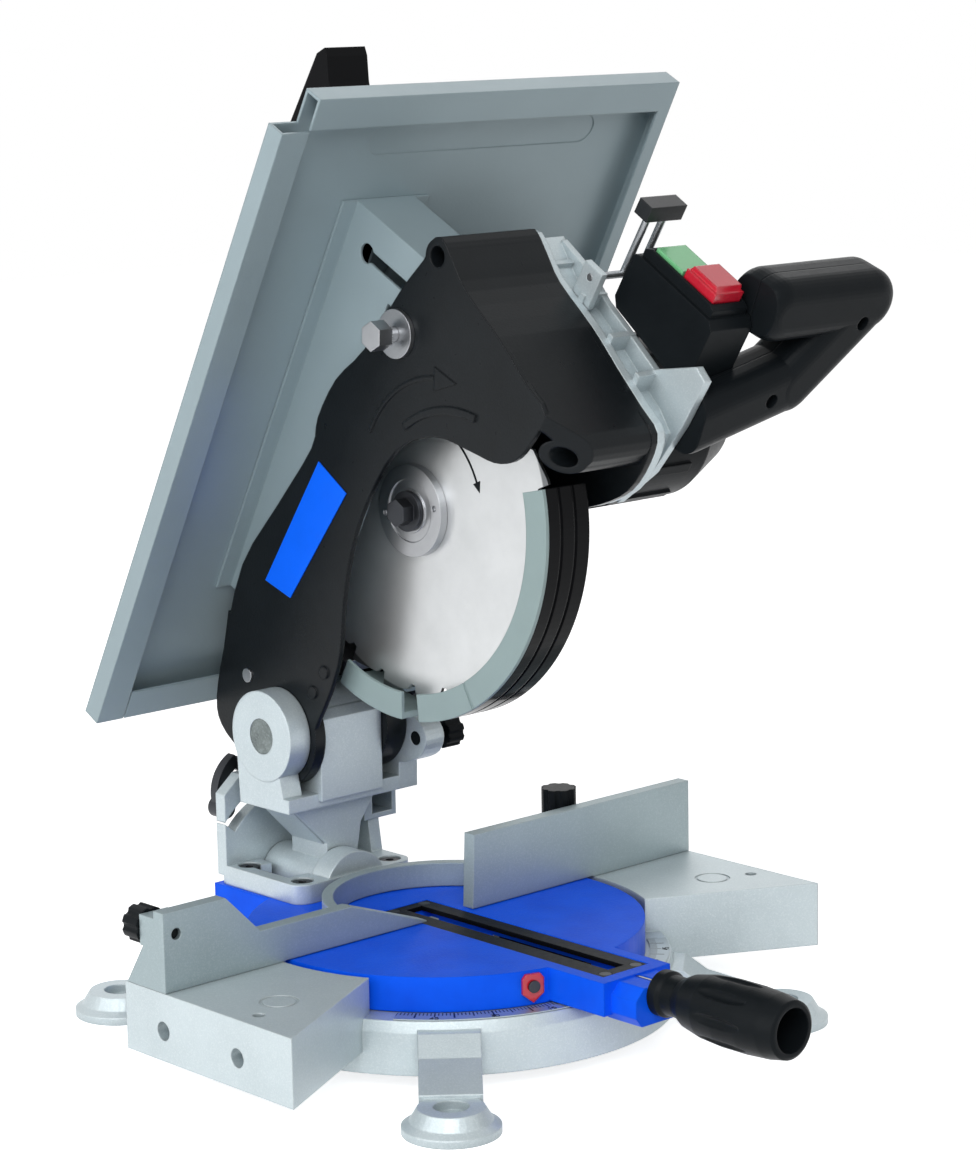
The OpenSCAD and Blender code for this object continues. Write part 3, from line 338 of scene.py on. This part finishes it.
def bluePaint(s):
    # the top is textured like a hammered enamel, the rim is smooth
    finish = Finish("blueEnamel", {"Specular IOR Level": s["gloss"]})
    up = finish.add("SeparateXYZ", None, {"Vector": finish.normal()}, 2)
    top = finish.stretch(up, s["topFrom"], s["topTo"])
    speck = finish.stretch(finish.noise(s["grainSize"], 2), s["speckFrom"], s["speckTo"])
    body = finish.blend(finish.drift(s["driftSize"]), shade(*s["blue"]), shade(*s["deep"]))
    body = finish.blend(speck * top * s["speckShare"], body, shade(*s["pale"]))
    finish.link("Base Color", body)
    finish.link("Roughness", spread(top, s["roughRim"], s["roughTop"]))
    grain = finish.noise(s["grainSize"], rough=s["grainRough"])
    finish.bumps(grain * spread(top, s["rimGrain"], 1.0), s["grainDepth"], s["edge"])
    return finish.material


drawnSteel = {
    "metal": 1.0, "lineScale": (1 / 0.05, 1 / 0.0006, 1 / 0.0006), "stainSize": 0.02,
    "stainFrom": 0.4, "stainTo": 0.7, "stainShare": 0.5, "streakShare": 0.3, "dark": 0.8,
    "streakDepth": 0.00002, "edge": 0.0006}


def steelFinish(name, colour, roughLow, roughHigh, s=drawnSteel):
    # turned or drawn metal: fine streaks that run one way
    finish = Finish(name, {"Metallic": s["metal"]})
    streak = finish.streaks(s["lineScale"])
    stain = finish.drift(s["stainSize"], s["stainFrom"], s["stainTo"])
    dark = [c * s["dark"] for c in colour[:3]] + [1.0]
    worn = stain * s["stainShare"] + streak * s["streakShare"]
    finish.link("Base Color", finish.blend(worn, colour, dark))
    finish.link("Roughness", spread(streak, roughLow, roughHigh))
    finish.bumps(streak, s["streakDepth"], s["edge"])
    return finish.material


groundPlate = {
    "metal": 0.85, "bright": (212, 214, 215), "dull": (168, 171, 172), "tip": (118, 120, 122),
    "tipFrom": 0.1005, "tipTo": 0.1015, "ringScale": 2600, "ringDetail": 2.0, "ringShare": 0.25,
    "stainSize": 0.025, "stainShare": 0.22, "roughLow": 0.24, "roughHigh": 0.42,
    "ringDepth": 0.00002, "edge": 0.0003}


def bladeSteel(s):
    # ground plate: rings about the spindle, a faint stain and darker tips
    finish = Finish("bladeSteel", {"Metallic": s["metal"]})
    radius = finish.vector("LENGTH", finish.fromSpindle(), out="Value")
    ring = finish.add("TexNoise", {"noise_dimensions": "1D"}, {
        "W": radius * s["ringScale"], "Detail": s["ringDetail"]})
    worn = finish.drift(s["stainSize"]) * s["stainShare"] + ring * s["ringShare"]
    plate = finish.blend(worn, shade(*s["bright"]), shade(*s["dull"]))
    tip = finish.stretch(radius, s["tipFrom"], s["tipTo"])
    finish.link("Base Color", finish.blend(tip, plate, shade(*s["tip"])))
    finish.link("Roughness", spread(ring, s["roughLow"], s["roughHigh"]))
    finish.bumps(ring, s["ringDepth"], s["edge"])
    return finish.material


degreeStrip = {
    "metal": 0.6, "plate": (178, 189, 193), "ink": (22, 24, 26), "band": 10.5 * mm,
    "sheenSize": 0.004, "roughLow": 0.32, "roughHigh": 0.42,
    "ticks": ((1.0, 0.16, 0.004), (5.0, 0.2, 0.006), (10.0, 0.24, 0.008))}  # step, half width, reach


def scaleStrip(s):
    # degree ticks round the base, longer every five and ten
    finish = Finish("degreeStrip", {"Metallic": s["metal"]})
    x, y = (finish.add("SeparateXYZ", None, {"Vector": finish.place()}, k) for k in (0, 1))
    angle = x.math("ARCTAN2", y * -1) * (180 / math.pi) + 360
    radius = (x * x + y * y).math("SQRT")
    inner = -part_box("mitre_scale")[0].y - s["band"]

    def tick(step, width, reach):
        gap = ((angle + step / 2) % step - step / 2).math("ABSOLUTE")
        return (gap < width) * (radius < inner + reach)
    ones, fives, tens = (tick(*t) for t in s["ticks"])
    mark = ones.math("MAXIMUM", fives).math("MAXIMUM", tens)
    finish.link("Base Color", finish.blend(mark, shade(*s["plate"]), shade(*s["ink"])))
    finish.link("Roughness", spread(finish.noise(s["sheenSize"]), s["roughLow"], s["roughHigh"]))
    return finish.material


finishes = {
    "cast_silver": castFinish("castSilver", castMetal),
    "blue_paint": bluePaint(blueEnamel),
    "black_cast": paintFinish("blackCast", shade(22, 26, 29), blackPaint),
    "black_plastic": paintFinish("blackMoulding", shade(22, 26, 29), mouldedBlack),
    "gloss_black": paintFinish("polishedBlack", shade(10, 11, 14), polishedBlack),
    "table_grey": paintFinish("tableGrey", shade(152, 169, 175), sheetPaint),
    "steel": steelFinish("machinedSteel", shade(178, 180, 183), 0.26, 0.42),
    "dark_steel": steelFinish("blackenedSteel", shade(70, 72, 76), 0.34, 0.5),
    "scale_alu": scaleStrip(degreeStrip),
    "red_plastic": paintFinish("redMoulding", shade(205, 30, 52), buttonPlastic),
    "green_plastic": paintFinish("greenMoulding", shade(120, 200, 140), buttonPlastic),
    "label_blue": paintFinish("bluePanel", shade(6, 104, 255), panelPrint),
    "copper": steelFinish("copperWinding", shade(176, 112, 66), 0.4, 0.6),
    "guard_grey": paintFinish("guardGrey", shade(144, 163, 163), greyPlastic),
    "bladeSteel": bladeSteel(groundPlate),
    "kerfBlack": kerfFinish(kerfInsert),
    "castBase": castFinish("castBase", baseMetal),
    "fenceGrey": castFinish("fenceGrey", fenceMetal),
    "peenedPin": castFinish("peenedPin", pinMetal),
    "wireAndPad": leverFinish(releaseLever),
}
print("finishes made:", len(finishes))

# Each node takes the finish of its slot, apart from a few that have one of their own
slotOf = {p["node"]: p["material_slot"] for p in record["subparts"]}
slotOf.update({
    "saw_blade": "bladeSteel", "kerf_plate": "kerfBlack", "fence": "fenceGrey",
    "base_casting": "castBase", "chop_shaft": "peenedPin", "guard_release_lever": "wireAndPad"})
for name, thing in nodes.items():
    thing.data.materials.clear()
    thing.data.materials.append(finishes[slotOf[name]])
    thing.data.polygons.foreach_set("use_smooth", [False] * len(thing.data.polygons))

inkSlot = slotOf["fence_knob_left"]
sunk = 0.05 * mm  # printed marks start this far under the face


def addPiece(name, body, finish, shape):
    bmesh.ops.recalc_face_normals(shape, faces=shape.faces)
    mesh = bpy.data.meshes.new(name)
    shape.to_mesh(mesh)
    shape.free()
    mesh.materials.append(finish)
    thing = bpy.data.objects.new(name, mesh)
    bpy.context.scene.collection.objects.link(thing)
    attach(thing, body)


def joinRings(shape, first, second):
    count = len(first)
    for i in range(count):
        j = (i + 1) % count
        shape.faces.new((first[i], first[j], second[j], second[i]))


def ribbon(shape, path, width, low, high, place, closed=False, sharpest=0.4):
    # a flat bar of one width along a path, with mitred corners, from low to high
    points = [Vector((x, y)) for x, y in path]
    count = len(points)
    rails = []
    for i, point in enumerate(points):
        ways = []
        if i > 0 or closed:
            ways.append((point - points[i - 1]).normalized())
        if i + 1 < count or closed:
            ways.append((points[(i + 1) % count] - point).normalized())
        sides = [Vector((-w.y, w.x)) for w in ways]
        across = sum(sides, Vector((0, 0))).normalized()
        across *= width / 2 / max(sharpest, across.dot(sides[0]))
        rails.append([shape.verts.new(place @ Vector((*(point + across * k), z)))
                      for k, z in ((1, low), (-1, low), (-1, high), (1, high))])
    for i in range(count if closed else count - 1):
        joinRings(shape, rails[i], rails[(i + 1) % count])
    if not closed:
        shape.faces.new(rails[0])
        shape.faces.new(rails[-1])


# Plain numbers on the mitre scale, each digit one stroke on a 4 by 7 grid, closed or open
digits = {
    "0": ([(0.6, 0), (3.4, 0), (4, 1), (4, 6), (3.4, 7), (0.6, 7), (0, 6), (0, 1)], True),
    "1": ([(0.8, 5.4), (2.3, 7), (2.3, 0)], False),
    "3": ([(0, 7), (4, 7), (1.8, 4.2), (3.6, 3.4), (4, 2.2), (3.8, 0.8), (2.8, 0), (0, 0.2)], False),
    "4": ([(3, 0), (3, 7), (0, 2.2), (4.4, 2.2)], False),
    "5": ([(3.8, 7), (0.5, 7), (0.2, 4), (2.8, 4.2), (4, 3), (3.9, 1), (2.8, 0), (0, 0.2)], False)}
numbers = {
    "marks": (-15, -30, -45, 0, 15, 30, 45), "unit": 0.44 * mm, "stroke": 1.1, "pitch": 5.4,
    "gap": 1.4, "inset": 0.5 * mm, "proud": 0.12 * mm}


def scaleNumbers(s):
    shape = bmesh.new()
    low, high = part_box("mitre_scale")
    radius = -low.y - s["inset"]
    grid = Matrix.Diagonal((s["unit"], s["unit"], 1, 1))
    for mark in s["marks"]:
        text = str(abs(mark))
        turn = Matrix.Rotation(math.radians(mark), 4, "Z")
        place = turn @ Matrix.Translation((0, -radius, high.z)) @ grid
        start = -(len(text) * s["pitch"] - s["gap"]) / 2
        for i, letter in enumerate(text):
            path, closed = digits[letter]
            moved = [(start + i * s["pitch"] + x, y) for x, y in path]
            ribbon(shape, moved, s["stroke"], -sunk, s["proud"], place, closed)
    addPiece("scaleNumbers", "base", finishes[inkSlot], shape)


scaleNumbers(numbers)

# The arrow printed on the blade, on its outer face ahead of the flange
arrow = {
    "radius": 52 * mm, "from": 186, "to": 216, "steps": 24, "stroke": 1.4 * mm, "head": 6 * mm,
    "headHalf": 0.5, "proud": 0.1 * mm}


def bladeArrow(s):
    shape = bmesh.new()
    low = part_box("saw_blade")[0]
    place = headFrame @ Matrix((
        (0, 0, -1, low.x), (1, 0, 0, 0), (0, 1, 0, 0), (0, 0, 0, 1)))
    sweep = s["to"] - s["from"]
    turns = [math.radians(s["from"] + sweep * i / s["steps"]) for i in range(s["steps"] + 1)]
    arc = [(s["radius"] * math.cos(a), s["radius"] * math.sin(a)) for a in turns]
    ribbon(shape, arc, s["stroke"], -sunk, s["proud"], place)
    tip = Vector(arc[-1])
    way = (tip - Vector(arc[-2])).normalized()
    side = Vector((-way.y, way.x)) * s["head"] * s["headHalf"]
    corners = [tip + way * s["head"], tip + side, tip - side]
    rings = [[shape.verts.new(place @ Vector((*c, z))) for c in corners] for z in (-sunk, s["proud"])]
    for ring in rings:
        shape.faces.new(ring)
    joinRings(shape, *rings)
    addPiece("bladeArrow", "blade_spindle", finishes[inkSlot], shape)


bladeArrow(arrow)

# A folded black trough hangs under the slot: a dark sheet put there as painted shadow, so the deep slot shows dark
# instead of the floor
trough = {
    "half": 15 * mm, "sheet": 0.8 * mm, "deep": 9.4 * mm, "hang": 8.0 * mm, "corner": 3 * mm,
    "bendSteps": 6, "ends": (-92 * mm, -27 * mm)}


def dustTrough(s):
    shape = bmesh.new()
    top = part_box("turntable")[1].z - s["hang"]
    turns = [math.pi / 2 * k / s["bendSteps"] for k in range(s["bendSteps"] + 1)]

    def face(radius):
        # down the left wall, round both bends and up the right wall
        sides = []
        for side in (-1, 1):
            x, z = side * (s["half"] - s["corner"]), s["corner"] - s["deep"]
            bend = [(x + side * radius * math.cos(a), z - radius * math.sin(a)) for a in turns]
            sides.append([(x + side * radius, 0.0)] + bend)
        return sides[0] + sides[1][::-1]
    section = face(s["corner"]) + face(s["corner"] - s["sheet"])[::-1]
    rings = [[shape.verts.new((x, y, top + z)) for x, z in section] for y in s["ends"]]
    joinRings(shape, *rings)
    count = len(section)
    for ring in rings:
        for i in range(count // 2 - 1):
            shape.faces.new((ring[i], ring[i + 1], ring[count - 2 - i], ring[count - 1 - i]))
    # painted shadow: the trough takes the black of the insert
    addPiece("dustTrough", "turntable_group", finishes["kerfBlack"], shape)


dustTrough(trough)
print("printed marks and trough made")

# Studio: white floor and backdrop, large soft lamps
studio = {
    "floorSize": 8.0, "floorGlow": 0.78, "floorRough": 0.7, "floorPale": (240, 240, 240),
    "floorDull": (236, 237, 238), "floorDrift": 0.4, "world": 0.3, "aim": (0, 0, 0.25),
    "lamps": {  # place, power, size
        "key": ((-1.6, -1.7, 1.7), 36.0, 1.6),
        "fill": ((-2.0, 0.1, 0.7), 20.0, 1.8),
        "rim": ((1.2, 1.2, 1.6), 6.0, 1.4)}}


def softLamp(name, where, target, power, size):
    lamp = bpy.data.lights.new(name, "AREA")
    lamp.energy = power
    lamp.size = size
    thing = bpy.data.objects.new(name, lamp)
    thing.location = where
    thing.rotation_euler = (Vector(target) - Vector(where)).to_track_quat("-Z", "Y").to_euler()
    bpy.context.scene.collection.objects.link(thing)


def makeStudio(s):
    mesh = bpy.data.meshes.new("floor")
    h = s["floorSize"] / 2
    mesh.from_pydata([(-h, -h, 0), (h, -h, 0), (h, h, 0), (-h, h, 0)], [], [(0, 1, 2, 3)])
    floor = bpy.data.objects.new("floor", mesh)
    bpy.context.scene.collection.objects.link(floor)
    finish = Finish("paleFloor", {
        "Roughness": s["floorRough"], "Specular IOR Level": 0.0, "Emission Strength": 1.0})
    drift = finish.noise(s["floorDrift"], 2)
    finish.link("Base Color", finish.blend(drift, shade(*s["floorPale"]), shade(*s["floorDull"])))
    glow = finish.seen() * s["floorGlow"]
    finish.link("Emission Color", finish.blend(glow, (0, 0, 0, 1), (1, 1, 1, 1)))
    mesh.materials.append(finish.material)
    for name, (where, power, size) in s["lamps"].items():
        softLamp(name, where, s["aim"], power, size)
    world = bpy.data.worlds.new("studio")
    bpy.context.scene.world = world
    world.use_nodes = True
    sky = Nodes(world.node_tree)
    back = sky.tree.nodes["Background"]
    back.inputs["Color"].default_value = (1, 1, 1, 1)
    feed(sky.tree, back.inputs["Strength"], spread(sky.seen(), s["world"], 1.0))


makeStudio(studio)

# Camera: fitted to the photograph, in the same frame as the saw
lens = {
    "azimuth": -42.5, "elevation": 10.34, "roll": -1.06, "aside": 0.02637, "above": -0.00547,
    "distance": 1.7287, "focalPixels": 3248.8, "imageHeight": 1152, "sensor": 36.0,
    "aim": (0, 0, 0.25)}


def makeCamera(s):
    a, e, r = (math.radians(s[k]) for k in ("azimuth", "elevation", "roll"))
    back = Vector((math.sin(a) * math.cos(e), -math.cos(a) * math.cos(e), math.sin(e)))
    right = Vector((math.cos(a), math.sin(a), 0))
    up = back.cross(right)
    turnedRight = right * math.cos(r) + up * math.sin(r)
    turnedUp = up * math.cos(r) - right * math.sin(r)
    eye = Vector(s["aim"]) + back * s["distance"] + turnedRight * s["aside"] + turnedUp * s["above"]
    data = bpy.data.cameras.new("camera")
    data.sensor_fit = "AUTO"
    data.sensor_width = s["sensor"]
    data.lens = s["focalPixels"] / s["imageHeight"] * s["sensor"]
    camera = bpy.data.objects.new("camera", data)
    camera.matrix_world = Matrix((
        (turnedRight.x, turnedUp.x, back.x, eye.x),
        (turnedRight.y, turnedUp.y, back.y, eye.y),
        (turnedRight.z, turnedUp.z, back.z, eye.z),
        (0, 0, 0, 1)))
    bpy.context.scene.collection.objects.link(camera)
    bpy.context.scene.camera = camera


makeCamera(lens)
bpy.context.scene.view_settings.view_transform = "Standard"
print("studio and camera ready")
